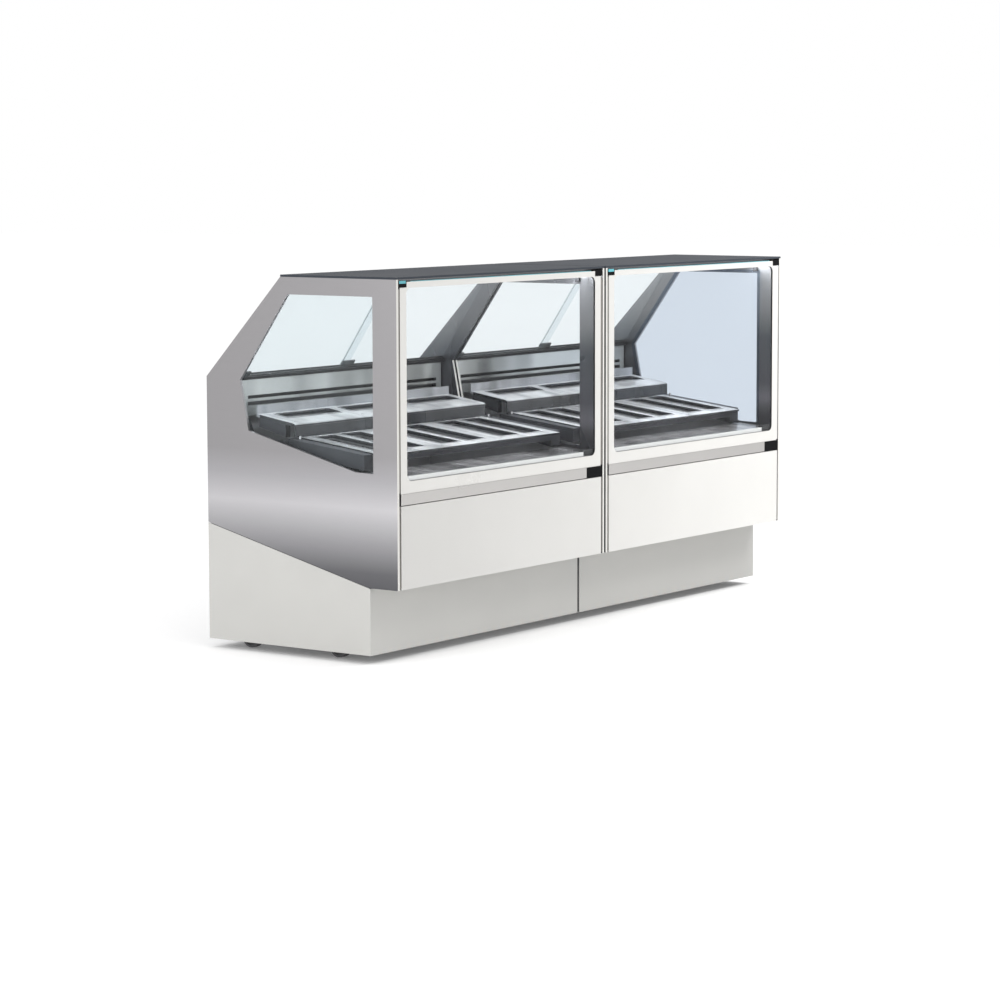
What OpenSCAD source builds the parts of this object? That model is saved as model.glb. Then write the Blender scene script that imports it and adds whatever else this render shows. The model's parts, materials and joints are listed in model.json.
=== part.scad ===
// Ice cream dipping cabinet: two joined glass-fronted modules on one castored base.
// Units are millimetres. +Z is up, -Y is the customer side, +X runs along the counter.
// The origin is the middle of the footprint at floor level.

/* [Body] */
// Width of one module between its outer side faces
module_w = 1195; // [1195:5:1260]
// Gap between the two modules, filled by a seal
joint_gap = 10; // [8:1:14]
// Thickness of the side plates
plate_t = 10; // [8:1:10]
// Thickness of the end panes
end_glass_t = 6; // [4:1:6]
// Thickness of the folded front panels
front_sheet = 2; // [1:0.5:2]

/* [Display] */
// Thickness of the front glass
front_glass_t = 6; // [5:0.5:6]
// Thickness of the rear sliding doors
door_t = 5; // [4:0.5:5]
// Clear width of one lower pan opening
pan_gap = 108; // [80:4:112]
// Depth of the lower pan frames
frame_t = 6; // [4:1:12]
// Clear depth of the upper pan openings, front to back
upper_gap = 65; // [50:5:85]

/* [Base] */
// Castor wheel tread width
wheel_w = 24; // [18:1:24]
// Rows of air slots in each rear grille
slot_rows = 8; // [4:1:8]
// Height of one air slot
slot_h = 10; // [6:1:12]

/* [Hidden] */
$fn = 48;
fit = 0.3;
overall_w = 2 * module_w + joint_gap;
half_w = overall_w / 2;
front_y = -400;
rear_y = 400;
top_z = 1260;
skirt_z = 252;
kick_y = -287;
plinth_t = 2;
plinth_z = [30, 250];
floor_slope = 0.2518;
plate_top = 1253;

// side plate and window outlines, as (y, z)
plate_outline = [[front_y, skirt_z], [kick_y, skirt_z], [rear_y, 425], [rear_y, 915],
    [78, plate_top], [front_y, plate_top]];
window_outline = [[-303, 1196], [47, 1196], [254, 908], [220, 741], [-230, 627], [-303, 625]];
pane_outline = [[-315, 1208], [53, 1208], [267, 912], [232, 731], [-228, 615], [-315, 613]];

// lamp strips and the cross rails under the roof
lamp_y = [-310, -282];
lamp_z = [1228, 1247];
lamp_foot = 30;
lamp_foot_xs = [60, module_w / 2 - lamp_foot / 2, module_w - 60 - lamp_foot];
front_rail_y = [-375, -345];
front_rail_z = 1229;
rear_rail_y = [28, 56];
rear_rail_z = 1226;

// front glass, its rail and its top hinge
pane_gap = 20;
glass_y = front_y + 2;
glass_z = [544, 1245];
rail_y = [front_y, -380];
rail_z = [526, 562];
rail_slot = 0.2;
block_w = 95;
hinge_y = -392;
hinge_z = 1240;
pin_d = 8;
running = 0.05;
cap_z = [1227, 1249];
cap_y = [front_y, -382];
cap_w = 42;

// rear doors lie in a slope that starts under the roof
door_origin = [77, 1250];
door_angle = atan2(0.826, 0.5637);
door_s = [8, 400.5];
track_s = [2, 408.5];
track_n = [-20, 3];
lip_s = [16, 397];
outer_n = -door_t;
inner_n = -17;
door_w = module_w / 2 - 0.5;
door_side = 12;
right_door = module_w - door_side - door_w;
handle_x = 12;
handle_w = 70;
handle_h = 14;
handle_t = 5.4;

// tub
wall_x = plate_t + 7;
wall_t = 17.5;
tub_front = [-379, -345];
tub_rear = [340, 392];
sill_z = 590;
floor_low = 290;
floor_rise = 0.2445;
ledge_z = 903;
// where the side walls and the liner step up to the rear shelf
split = 225;

// pan frames
frame_seam = 0.5;
slab_gap = 0.15;
support_drop = 4;
lower_x = 80;
frame_pitch = 340;
lower_y = [-278, 70];
lower_gap_y = [-235, 50];
lower_rise = 0.1207;
lower_z = 679;
upper_x = [45, module_w - 80];
upper_y = [57, 222];
upper_gap_y = [200 - upper_gap, 200];
upper_t = 10;
upper_seams = [420, 760];
upper_gap_x = [[105, 395], [445, 735], [785, 1075]];
upper_rise = 0.16;
upper_z = 767;

// castors
wheel_d = 75;
castor_x = half_w - 80;
swivel_ys = [-124, 252];
trail = 24;
axle_z = wheel_d / 2;
axle_d = 8;
leg_in = 14;
leg_t = 3;
crown_z = [80, 97.7];
king_d = 12;
castor_plate_z = [98, 104.7];
castor_plate = 60;

// machinery
rail_base_z = [105, 134.7];
cross_z = [135, 165];
bar_w = 40;
tray_z = 165.3;
tray_w = 500;
fan_d = 170;
fan_t = 18;
shaft_d = 8;
motor_d = 70;
fin_gap = 6;
fin_step = 14;
fin_depth = 10;
fin_margin = 12;
compressor_xs = [-840, 280];
condenser_xs = [-280, 840];
evap_x = 600;
evap_fan_y = 212;
evap_fan_z = 585;
cond_fan_y = 293;
cond_fan_z = tray_z + 95;
cover_y = [392.5, 395.5];
control_x = 105;
control_size = [150, 56, 60];
control_z = 330;
rocker_size = [18, 9, 24];
rocker_pin = 3;
rocker_x = 126;
rocker_in = 8;

function module_x(m) = -half_w + m * (module_w + joint_gap);
function under(y) = 256 + floor_slope * (y - kick_y);
function post_top(y) = under(y) - 4.8;
function tub_floor(y) = floor_low + floor_rise * (y - tub_front[0]);
function lower_top(y) = lower_z + lower_rise * (y - lower_y[0]);
function upper_top(y) = upper_z + upper_rise * (y - upper_y[0]);

// a (y, z) outline extruded from x0 to x1
module prism(x0, x1, outline) {
    translate([x0, 0, 0])
        rotate([90, 0, 90])
            linear_extrude(height = x1 - x0)
                polygon(outline);
}

module block(x, y, z) {
    translate([x[0], y[0], z[0]])
        cube([x[1] - x[0], y[1] - y[0], z[1] - z[0]]);
}

// a round bar along X
module bar_x(x, y, z, d) {
    translate([x[0], y, z])
        rotate([0, 90, 0])
            cylinder(h = x[1] - x[0], d = d);
}

// a round bar along Y
module bar_y(x, y, z, d) {
    translate([x, y[0], z])
        rotate([-90, 0, 0])
            cylinder(h = y[1] - y[0], d = d);
}

module bar_z(x, y, z, d) {
    translate([x, y, z[0]])
        cylinder(h = z[1] - z[0], d = d);
}

module in_module(m) {
    translate([module_x(m), 0, 0])
        children();
}

module each_module() {
    for (m = [0, 1])
        in_module(m)
            children();
}

// a block in the doors' slope: s runs down the slope, n points outwards
module slope_block(x, s, n) {
    translate([0, door_origin[0], door_origin[1]])
        rotate([-door_angle, 0, 0])
            block(x, s, n);
}

// ---- shell ----

module side_plate(x0) {
    difference() {
        prism(x0, x0 + plate_t, plate_outline);
        prism(x0 - 1, x0 + plate_t + 1, window_outline);
    }
}

module end_panel_left() {
    color("silver")
        side_plate(-half_w);
}

module end_panel_right() {
    color("silver")
        side_plate(half_w - plate_t);
}

module joint_panels() {
    color("silver") {
        side_plate(-joint_gap / 2 - plate_t);
        side_plate(joint_gap / 2);
    }
}

module end_glass() {
    inset = plate_t + fit;
    color("lightblue") {
        prism(-half_w + inset, -half_w + inset + end_glass_t, pane_outline);
        prism(half_w - inset - end_glass_t, half_w - inset, pane_outline);
    }
}

module seals() {
    seal_x = [-joint_gap / 2 + fit, joint_gap / 2 - fit];
    strip = 25;
    inset = 8;
    front = front_y + inset;
    top = plate_top - inset;
    rear = rear_y - inset;
    rear_z = [435, 900];
    roof_y = 65;
    gasket_y = [front_y + 8.4, front_y + 9.8];
    gasket_z = [sill_z + 3, sill_z + 11];
    color("black") {
        block(seal_x, [front, front + strip], [skirt_z + inset, top]);
        block(seal_x, [front + strip + fit, roof_y], [top - strip, top]);
        block(seal_x, [rear - strip, rear], rear_z);
        each_module()
            block([pane_gap, module_w - pane_gap], gasket_y, gasket_z);
    }
}

module roof_panels() {
    color("dimgray")
        each_module()
            block([0, module_w], [front_y, 78], [plate_top + fit, top_z]);
}

module roof_rails() {
    span = [plate_t + 2, module_w - plate_t - 2];
    foot_y = [lamp_y[0] + 4, lamp_y[1] - 4];
    color("gray")
        each_module() {
            block(span, front_rail_y, [front_rail_z, plate_top]);
            block(span, rear_rail_y, [rear_rail_z, plate_top]);
            for (x = lamp_foot_xs)
                block([x, x + lamp_foot], foot_y, [lamp_z[1] + fit, plate_top]);
        }
}

module lamps() {
    color("white")
        each_module()
            block([pane_gap, module_w - pane_gap], lamp_y, lamp_z);
}

module front_panels() {
    z1 = 523;
    lip = 20;
    t = front_sheet;
    fold = [[front_y, skirt_z], [kick_y, skirt_z], [kick_y, skirt_z + t], [front_y + t, skirt_z + t],
        [front_y + t, z1 - t], [front_y + lip, z1 - t], [front_y + lip, z1], [front_y, z1]];
    color("white")
        each_module()
            prism(pane_gap, module_w - pane_gap, fold);
}

module kick_panels() {
    end_x = half_w - plinth_t - fit;
    seam = 6;
    color("lightgray")
        for (x = [[-end_x, -seam], [seam, end_x]])
            block(x, [kick_y, kick_y + plinth_t], plinth_z);
}

module plinth_ends() {
    outline = [[kick_y, plinth_z[0]], [rear_y, plinth_z[0]], [rear_y, 423], [kick_y, plinth_z[1]]];
    color("lightgray") {
        prism(-half_w, -half_w + plinth_t, outline);
        prism(half_w - plinth_t, half_w, outline);
    }
}

module sills() {
    front = -390;
    crest_y = -378;
    crest_z = 617;
    dip = [-370, 612];
    wall_y = tub_front[1] - 0.5;
    rear = -235;
    outline = [[front, sill_z + fit], [wall_y, sill_z + fit], [wall_y, dip[1] - 6],
        [rear, crest_z + 1], [rear, crest_z + 5], dip, [crest_y, crest_z], [front, crest_z]];
    color("silver")
        each_module()
            prism(wall_x + 1, module_w - wall_x - 1, outline);
}

module ledges() {
    face = [300, 302];
    span = [wall_x, module_w - wall_x];
    slot_x = [94, module_w - 45];
    low = 780;
    bands = [[847, ledge_z - fit], [826, 836], [low, 814]];
    color("silver")
        each_module() {
            block(span, [face[0], rear_y - 0.5], [ledge_z, ledge_z + 4]);
            for (x = [[span[0], slot_x[0] - fit], [slot_x[1] + fit, span[1]]])
                block(x, face, [low, ledge_z - fit]);
            for (z = bands)
                block(slot_x, face, z);
        }
}

module door_tracks() {
    span = [plate_t + 0.5, module_w - plate_t - 0.5];
    lips = [[0.5, track_n[1]], [-11.4, outer_n - 0.6], [track_n[0], inner_n - 0.5]];
    color("black")
        each_module() {
            slope_block(span, [track_s[0], door_s[0] - 0.5], track_n);
            slope_block(span, [door_s[1] + 0.5, track_s[1]], track_n);
            for (n = lips) {
                slope_block(span, [door_s[0] - 0.2, lip_s[0]], n);
                slope_block(span, [lip_s[1], door_s[1] + 0.2], n);
            }
        }
}

// ---- insulated tub ----

module tub_walls() {
    y0 = tub_front[0];
    y1 = tub_rear[1];
    span = [wall_x, module_w - wall_x];
    side_front = [[tub_front[1] + fit, tub_floor(tub_front[1]) + fit], [split, tub_floor(split) + fit],
        [split, 722], [-230, 605], [tub_front[1] + fit, 600]];
    side_rear = [[split + fit, tub_floor(split) + 2 * fit],
        [tub_rear[0] - fit, tub_floor(tub_rear[0]) + fit], [tub_rear[0] - fit, 779], [split + 17, 779],
        [split + fit, 735]];
    color("gainsboro")
        each_module() {
            prism(span[0], span[1], [[y0, 256], [kick_y, 256], [y1, under(y1)], [y1, tub_floor(y1)],
                [y0, floor_low]]);
            prism(span[0], span[1], [[y0, floor_low + fit], [tub_front[1], tub_floor(tub_front[1]) + fit],
                [tub_front[1], sill_z], [y0, sill_z]]);
            prism(span[0], span[1], [[tub_rear[0], tub_floor(tub_rear[0]) + fit],
                [y1, tub_floor(y1) + fit], [y1, ledge_z - 1], [tub_rear[0], ledge_z - 1]]);
            for (x = [span[0], span[1] - wall_t]) {
                prism(x, x + wall_t, side_front);
                prism(x, x + wall_t, side_rear);
            }
        }
}

module liners() {
    t = 1;
    gap = 0.4;
    x0 = wall_x + wall_t + gap;
    x1 = module_w - x0;
    y0 = tub_front[1] + gap;
    y1 = tub_rear[0] - gap;
    inner = [[y0 + t, tub_floor(y0) + gap + t], [y1 - t, tub_floor(y1) + gap + t], [y1 - t, 1000],
        [y0 + t, 1000]];
    outer = [[y0, tub_floor(y0) + gap], [y1, tub_floor(y1) + gap], [y1, 775], [y0, sill_z - 1]];
    trim = [[y0 - 1, sill_z - 1], [split, 700], [y1 + 1, 775], [y1 + 1, 1000], [y0 - 1, 1000]];
    color("silver")
        each_module()
            difference() {
                prism(x0, x1, outer);
                prism(x0 + t, x1 - t, inner);
                prism(x0 - 1, x1 + 1, trim);
            }
}

// ---- pan frames ----

// a sloped slab under the line given by a top function, between two y values
function slab(y, top0, top1, t) = [[y[0], top0 - t], [y[1], top1 - t], [y[1], top1], [y[0], top0]];

module lower_slab(x, y) {
    prism(x[0], x[1], slab(y, lower_top(y[0]), lower_top(y[1]), frame_t));
}

module upper_slab(x, y) {
    prism(x[0], x[1], slab(y, upper_top(y[0]), upper_top(y[1]), upper_t));
}

module lower_frame(x) {
    g = slab_gap;
    seam = frame_seam;
    inner_y = [lower_gap_y[0] + g, lower_gap_y[1] - g];
    side = 45;
    centre = frame_pitch - 2 * side - 2 * pan_gap;
    lower_slab([x + seam, x + frame_pitch - seam], [lower_y[0], lower_gap_y[0] - g]);
    lower_slab([x + seam, x + frame_pitch - seam], [lower_gap_y[1] + g, lower_y[1]]);
    lower_slab([x + seam, x + side], inner_y);
    lower_slab([x + side + pan_gap, x + side + pan_gap + centre], inner_y);
    lower_slab([x + frame_pitch - side, x + frame_pitch - seam], inner_y);
}

module lower_frames() {
    color("silver")
        each_module()
            for (i = [0, 1, 2])
                lower_frame(lower_x + i * frame_pitch);
}

// one upper frame: a folded front edge, flat bars round its opening and an upstand at the back
module upper_frame(x, gap) {
    g = slab_gap;
    edge = 4;
    bend = 12;
    apron_z = 722;
    upstand_z = [783, 821];
    y0 = upper_y[0];
    bend_y = y0 + bend;
    bend_z = upper_top(bend_y);
    inner_y = [upper_gap_y[0] + g, upper_gap_y[1] - g];
    front_bend = [[y0, bend_z - bend], [y0 + edge, bend_z - bend], [bend_y, bend_z - upper_t / 2],
        [bend_y, bend_z], [y0 + edge, bend_z - edge / 2], [y0, bend_z - bend / 2]];
    block(x, [y0, y0 + edge - fit], [apron_z, bend_z - bend - fit]);
    prism(x[0], x[1], front_bend);
    upper_slab(x, [bend_y + g, upper_gap_y[0] - g]);
    upper_slab([x[0], gap[0]], inner_y);
    upper_slab([gap[1], x[1]], inner_y);
    upper_slab(x, [upper_gap_y[1] + g, upper_y[1] - edge]);
    block(x, [upper_y[1] - edge + fit, upper_y[1]], upstand_z);
}

module upper_frames() {
    starts = concat([upper_x[0]], [for (x = upper_seams) x + frame_seam]);
    ends = concat([for (x = upper_seams) x - frame_seam], [upper_x[1]]);
    color("silver")
        each_module()
            for (i = [0, 1, 2])
                upper_frame([starts[i], ends[i]], upper_gap_x[i]);
}

module tier_supports() {
    left = [wall_x + wall_t + 2, lower_x - 0.5];
    right = [lower_x + 3 * frame_pitch + 0.5, module_w - wall_x - wall_t - 2];
    support_y = [-237, 85];
    tall = 50;
    front_beam = [-262, -246];
    rear_beam = [53, 69];
    beam = 22;
    beam_x = [left[1] + 1, right[0] - 1];
    play = 0.5;
    under_front = lower_top(front_beam[0]) - frame_t - play;
    under_rear = lower_top(rear_beam[0]) - frame_t - play;
    bracket_y = [100, 214];
    bracket_w = 24;
    bracket_z = 700;
    color("silver")
        each_module() {
            for (x = [left, right])
                prism(x[0], x[1], slab(support_y, lower_top(support_y[0]) - support_drop,
                    lower_top(support_y[1]) - support_drop, tall));
            block(beam_x, front_beam, [under_front - beam, under_front]);
            block(beam_x, rear_beam, [under_rear - beam, under_rear]);
            for (x = [upper_x[0] + 3, upper_x[1] - bracket_w - 3])
                prism(x, x + bracket_w, [[bracket_y[0], bracket_z + 20], [bracket_y[1], bracket_z + 50],
                    [bracket_y[1], upper_top(bracket_y[1]) - upper_t - play],
                    [bracket_y[0], upper_top(bracket_y[0]) - upper_t - play]]);
        }
}

module frame_pins() {
    d = 9;
    h = 4;
    peg_h = 8;
    clear = 0.2;
    lower_pin_y = -262;
    upper_pin_y = 78;
    upper_pin_xs = [64, 432, 748, 1090];
    peg_y = 50;
    peg_xs = [62, module_w - 70];
    color("silver")
        each_module() {
            for (i = [0:5])
                bar_z(lower_x + frame_pitch / 2 * i + d, lower_pin_y,
                    [lower_top(lower_pin_y + d) + clear, lower_top(lower_pin_y) + h], d);
            for (x = upper_pin_xs)
                bar_z(x, upper_pin_y, [upper_top(upper_pin_y + d) + clear, upper_top(upper_pin_y) + h],
                    d);
            for (x = peg_xs)
                bar_z(x, peg_y, [lower_top(peg_y + d) - support_drop + clear, lower_top(peg_y) + peg_h],
                    d);
        }
}

// ---- front glass ----

module front_glass(m) {
    color("lightblue")
        in_module(m)
            block([pane_gap, module_w - pane_gap], [glass_y, glass_y + front_glass_t], glass_z);
}

module rail_section(x) {
    groove = 5;
    difference() {
        block(x, rail_y, rail_z);
        block([x[0] - 1, x[1] + 1], [glass_y - rail_slot, glass_y + front_glass_t + rail_slot],
            [glass_z[0] - rail_slot, rail_z[1] + 1]);
        block([x[0] - 1, x[1] + 1], [rail_y[0] + 8, rail_y[1] - 4],
            [rail_z[0] - 1, rail_z[0] + groove]);
    }
}

module grip_rail(m) {
    color("gainsboro")
        in_module(m)
            rail_section([pane_gap, module_w - pane_gap - block_w + 5]);
}

module hinge_cap(x, inner) {
    d = pin_d + 2 * running;
    difference() {
        block(x, cap_y, cap_z);
        block(inner, [glass_y - rail_slot, glass_y + front_glass_t + rail_slot],
            [cap_z[0] - 1, cap_z[1] + 1]);
        bar_x([x[0] - 1, x[1] + 1], hinge_y, hinge_z, d);
    }
}

module corner_blocks(m) {
    edge = pane_gap - rail_slot;
    near = 13;
    right = module_w - near;
    color("black")
        in_module(m) {
            hinge_cap([near, near + cap_w], [edge, near + cap_w + 1]);
            hinge_cap([right - cap_w, right], [right - cap_w - 1, module_w - edge]);
            rail_section([module_w - pane_gap - block_w + 5.3, module_w - near]);
        }
}

module hinge_pins() {
    reach = pane_gap - 1;
    color("silver")
        each_module() {
            bar_x([plate_t + 0.1, reach], hinge_y, hinge_z, pin_d);
            bar_x([module_w - reach, module_w - plate_t - 0.1], hinge_y, hinge_z, pin_d);
        }
}

// ---- rear doors ----

module door(m, x, n) {
    color("lightblue")
        in_module(m)
            slope_block([x, x + door_w], door_s, [n, n + door_t]);
}

module door_pull(m, x, n) {
    lift = 0.1;
    s = [lip_s[1] - 1 - handle_h, lip_s[1] - 1];
    scoop = 2;
    rim = 3;
    color("black")
        in_module(m)
            difference() {
                slope_block([x, x + handle_w], s, [n + door_t + lift, n + door_t + handle_t]);
                slope_block([x + rim, x + handle_w - rim], [s[0] + rim, s[1] - rim],
                    [n + door_t + handle_t - scoop, n + door_t + handle_t + 1]);
            }
}

// ---- base and machinery ----

module base_frame() {
    cross_xs = [-castor_x, -castor_x / 2, 0, castor_x / 2, castor_x];
    cross_y = [-282, 390];
    post_ys = [-282, 40, 350];
    color("gray") {
        for (y = swivel_ys)
            block([-half_w + 6, half_w - 6], [y - bar_w / 2, y + bar_w / 2], rail_base_z);
        for (x = cross_xs) {
            block([x - bar_w / 2, x + bar_w / 2], cross_y, cross_z);
            for (y = post_ys)
                prism(x - bar_w / 2, x + bar_w / 2, [[y, cross_z[1] + fit], [y + bar_w, cross_z[1] + fit],
                    [y + bar_w, post_top(y + bar_w)], [y, post_top(y)]]);
        }
    }
}

module machine_trays() {
    rim = 12;
    t = 2;
    y = [110, 388];
    color("silver")
        for (x = concat(compressor_xs, condenser_xs)) {
            span = [x - tray_w / 2, x + tray_w / 2];
            block(span, y, [tray_z, tray_z + t]);
            block(span, [y[0], y[0] + t], [tray_z + t + fit, tray_z + rim]);
            block(span, [y[1] - t, y[1]], [tray_z + t + fit, tray_z + rim]);
        }
}

module compressors() {
    d = 150;
    y = 250;
    z = tray_z + 2.5;
    foot = [95, 60];
    foot_z = [z, z + 8];
    body_z = [foot_z[1], z + 160];
    dome_h = 18;
    box_x = [d / 2 - 8, d / 2 + 32];
    box_z = [z + 50, z + 110];
    color("black")
        for (x = compressor_xs) {
            block([x - foot[0], x + foot[0]], [y - foot[1], y + foot[1]], foot_z);
            bar_z(x, y, body_z, d);
            bar_z(x, y, [body_z[1], body_z[1] + dome_h], d - 40);
            block([x + box_x[0], x + box_x[1]], [y - 30, y + 30], box_z);
        }
}

module condensers() {
    y = [322, 384];
    z = [tray_z + 3, tray_z + 183];
    coil = 150;
    fins = coil - 10;
    foot = 40;
    motor_y = [240, 286];
    shaft_y = [motor_y[1], 314];
    color("silver")
        for (x = condenser_xs) {
            difference() {
                block([x - coil, x + coil], y, z);
                for (fx = [x - fins:fin_step:x + fins])
                    block([fx, fx + fin_gap], [y[0] - 1, y[0] + fin_depth],
                        [z[0] + fin_margin, z[1] - fin_margin]);
            }
            bar_y(x, motor_y, cond_fan_z, motor_d);
            bar_y(x, shaft_y, cond_fan_z, shaft_d);
            block([x - foot, x + foot], [motor_y[0] + 8, motor_y[1] - 8], [z[0], cond_fan_z - 30]);
        }
}

module evaporators() {
    x = evap_x;
    coil = [x - 300, x + 300];
    y = [256, 334];
    z = [474, 680];
    foot = 30;
    foot_z = 440;
    motor_y = [160, 205];
    shaft_y = [motor_y[1], 244];
    color("silver")
        each_module() {
            difference() {
                block(coil, y, z);
                for (fx = [coil[0] + fin_margin:fin_step:coil[1] - 2 * fin_margin])
                    block([fx, fx + fin_gap], [y[0] - 1, y[0] + fin_depth],
                        [z[0] + fin_margin, z[1] - fin_margin]);
            }
            bar_y(x, motor_y, evap_fan_z, motor_d);
            bar_y(x, shaft_y, evap_fan_z, shaft_d);
            block([x - foot, x + foot], [motor_y[0] + 8, motor_y[1] - 8], [foot_z, evap_fan_z - 30]);
        }
}

// an axial fan with its hub bored for the motor shaft
module fan(x, y, z) {
    hub = 46;
    blade_t = 3;
    blade_w = 28;
    root = 4;
    pitch = 28;
    blades = 5;
    translate([x, y, z])
        rotate([-90, 0, 0])
            difference() {
                union() {
                    cylinder(h = fan_t, d = hub);
                    for (i = [0:blades - 1])
                        rotate([0, 0, i * 360 / blades])
                            translate([hub / 2 - root, 0, fan_t / 2])
                                rotate([pitch, 0, 0])
                                    translate([0, -blade_w / 2, -blade_t / 2])
                                        cube([(fan_d - hub) / 2 + root / 2, blade_w, blade_t]);
                }
                translate([0, 0, -1])
                    cylinder(h = fan_t + 2, d = shaft_d + 2 * running);
            }
}

module evap_fan(m) {
    color("gray")
        in_module(m)
            fan(evap_x, evap_fan_y, evap_fan_z);
}

module cond_fan(m) {
    color("gray")
        fan(condenser_xs[m], cond_fan_y, cond_fan_z);
}

module rear_covers() {
    color("silver")
        each_module()
            block([plate_t + 0.5, module_w - plate_t - 0.5], cover_y, [430, ledge_z - 3]);
}

module rear_grilles() {
    cols = 4;
    slot_w = 180;
    step_x = 270;
    step_z = 26;
    first = 100;
    first_z = 64;
    gap = 0.4;
    color("silver")
        each_module()
            difference() {
                block([6, module_w - 6], cover_y, [34, 422]);
                for (c = [0:cols - 1])
                    for (r = [0:slot_rows - 1])
                        block([first + c * step_x, first + c * step_x + slot_w],
                            [cover_y[0] - 1, cover_y[1] + 1],
                            [first_z + r * step_z, first_z + r * step_z + slot_h]);
                block([control_x - gap, control_x + control_size[0] + gap],
                    [cover_y[0] - 1, cover_y[1] + 1],
                    [control_z - gap, control_z + control_size[2] + gap]);
            }
}

module control_modules() {
    x = control_x;
    back = rear_y - control_size[1];
    mid = control_z + control_size[2] / 2;
    rx = x + rocker_x;
    depth = 14;
    clear = 1.5;
    pocket = [rocker_size[0] / 2 + 0.5, rocker_size[2] / 2 + clear];
    inlet_x = x + 84;
    color("black")
        each_module() {
            difference() {
                block([x, x + control_size[0]], [back, rear_y - 0.2],
                    [control_z, control_z + control_size[2]]);
                block([rx - pocket[0], rx + pocket[0]], [rear_y - depth, rear_y + 1],
                    [mid - pocket[1], mid + pocket[1]]);
                block([x + 10, x + 62], [rear_y - 1.5, rear_y + 1], [mid - 14, mid + 14]);
                block([inlet_x - 12, inlet_x + 15], [rear_y - 18, rear_y + 1], [mid - 11, mid + 11]);
            }
            bar_x([rx - pocket[0] - 1, rx + pocket[0] + 1], rear_y - rocker_in, mid, rocker_pin);
            for (dx = [-6, 1.5, 9])
                bar_y(inlet_x + dx, [rear_y - 19, rear_y - 6], mid, 3);
        }
}

module rocker(m) {
    mid = control_z + control_size[2] / 2;
    rx = control_x + rocker_x;
    y = rear_y - rocker_in;
    color("red")
        in_module(m)
            difference() {
                block([rx - rocker_size[0] / 2, rx + rocker_size[0] / 2], [y - 3, y + 6],
                    [mid - rocker_size[2] / 2, mid + rocker_size[2] / 2]);
                bar_x([rx - rocker_size[0], rx + rocker_size[0]], y, mid, rocker_pin + 2 * running);
            }
}

// ---- castors ----

module fork_legs(x, wheel_y, top) {
    leg_y = 16;
    for (side = [-1, 1])
        difference() {
            block([x + side * (leg_in + leg_t / 2) - leg_t / 2, x + side * (leg_in + leg_t / 2) + leg_t / 2],
                [wheel_y - leg_y, wheel_y + leg_y - 6], [axle_z - 10, top]);
            bar_x([x - 2 * leg_in, x + 2 * leg_in], wheel_y, axle_z, axle_d + 2 * running);
        }
}

module swivel_fork(x, y) {
    crown = 46;
    color("gray") {
        fork_legs(x, y + trail, crown_z[0] + 1);
        block([x - leg_in - leg_t, x + leg_in + leg_t], [y - crown / 2, y + trail + 10],
            [crown_z[0], crown_z[0] + 5]);
        bar_z(x, y, [crown_z[0] + 4, crown_z[1]], crown);
        bar_z(x, y, [crown_z[1] - 1, castor_plate_z[1] - 0.2], king_d);
    }
}

module castor_plates() {
    half = castor_plate / 2;
    color("gray") {
        for (y = swivel_ys) {
            for (x = [-castor_x, castor_x])
                difference() {
                    block([x - half, x + half], [y - half, y + half], castor_plate_z);
                    bar_z(x, y, [castor_plate_z[0] - 1, castor_plate_z[1] + 1], king_d + 2 * running);
                }
            block([-half, half], [y - half, y + trail + 10], [crown_z[0], castor_plate_z[1]]);
            fork_legs(0, y + trail, crown_z[0] + 1);
        }
    }
}

module wheel(x, y) {
    hub = 26;
    groove = 4;
    wy = y + trail;
    color("dimgray") {
        difference() {
            bar_x([x - wheel_w / 2, x + wheel_w / 2], wy, axle_z, wheel_d);
            for (side = [-1, 1])
                difference() {
                    bar_x([x + side * wheel_w / 2 - groove, x + side * wheel_w / 2 + groove], wy, axle_z,
                        wheel_d - 16);
                    bar_x([x - wheel_w, x + wheel_w], wy, axle_z, hub);
                }
        }
        bar_x([x - leg_in + 0.5, x + leg_in - 0.5], wy, axle_z, hub - 8);
        bar_x([x - leg_in - leg_t - 2, x + leg_in + leg_t + 2], wy, axle_z, axle_d);
    }
}

end_panel_left();
end_panel_right();
joint_panels();
end_glass();
seals();
roof_panels();
roof_rails();
lamps();
front_panels();
kick_panels();
plinth_ends();
base_frame();
tub_walls();
liners();
sills();
ledges();
door_tracks();
upper_frames();
lower_frames();
tier_supports();
frame_pins();
hinge_pins();
evaporators();
compressors();
condensers();
machine_trays();
rear_covers();
rear_grilles();
control_modules();
castor_plates();
front_glass(0);  // front_glass_1
front_glass(1);  // front_glass_2
grip_rail(0);  // grip_rail_1
grip_rail(1);  // grip_rail_2
corner_blocks(0);  // corner_blocks_1
corner_blocks(1);  // corner_blocks_2
door(0, door_side, inner_n);  // door_1a
door(0, right_door, outer_n);  // door_1b
door(1, door_side, inner_n);  // door_2a
door(1, right_door, outer_n);  // door_2b
door_pull(0, door_side + handle_x, inner_n);  // door_pull_1a
door_pull(0, right_door + handle_x, outer_n);  // door_pull_1b
door_pull(1, door_side + handle_x, inner_n);  // door_pull_2a
door_pull(1, right_door + handle_x, outer_n);  // door_pull_2b
swivel_fork(-castor_x, swivel_ys[0]);  // fork_fl
swivel_fork(castor_x, swivel_ys[0]);  // fork_fr
swivel_fork(-castor_x, swivel_ys[1]);  // fork_rl
swivel_fork(castor_x, swivel_ys[1]);  // fork_rr
wheel(-castor_x, swivel_ys[0]);  // wheel_fl
wheel(0, swivel_ys[0]);  // wheel_fm
wheel(castor_x, swivel_ys[0]);  // wheel_fr
wheel(-castor_x, swivel_ys[1]);  // wheel_rl
wheel(0, swivel_ys[1]);  // wheel_rm
wheel(castor_x, swivel_ys[1]);  // wheel_rr
evap_fan(0);  // evap_fan_1
evap_fan(1);  // evap_fan_2
cond_fan(0);  // cond_fan_1
cond_fan(1);  // cond_fan_2
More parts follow.
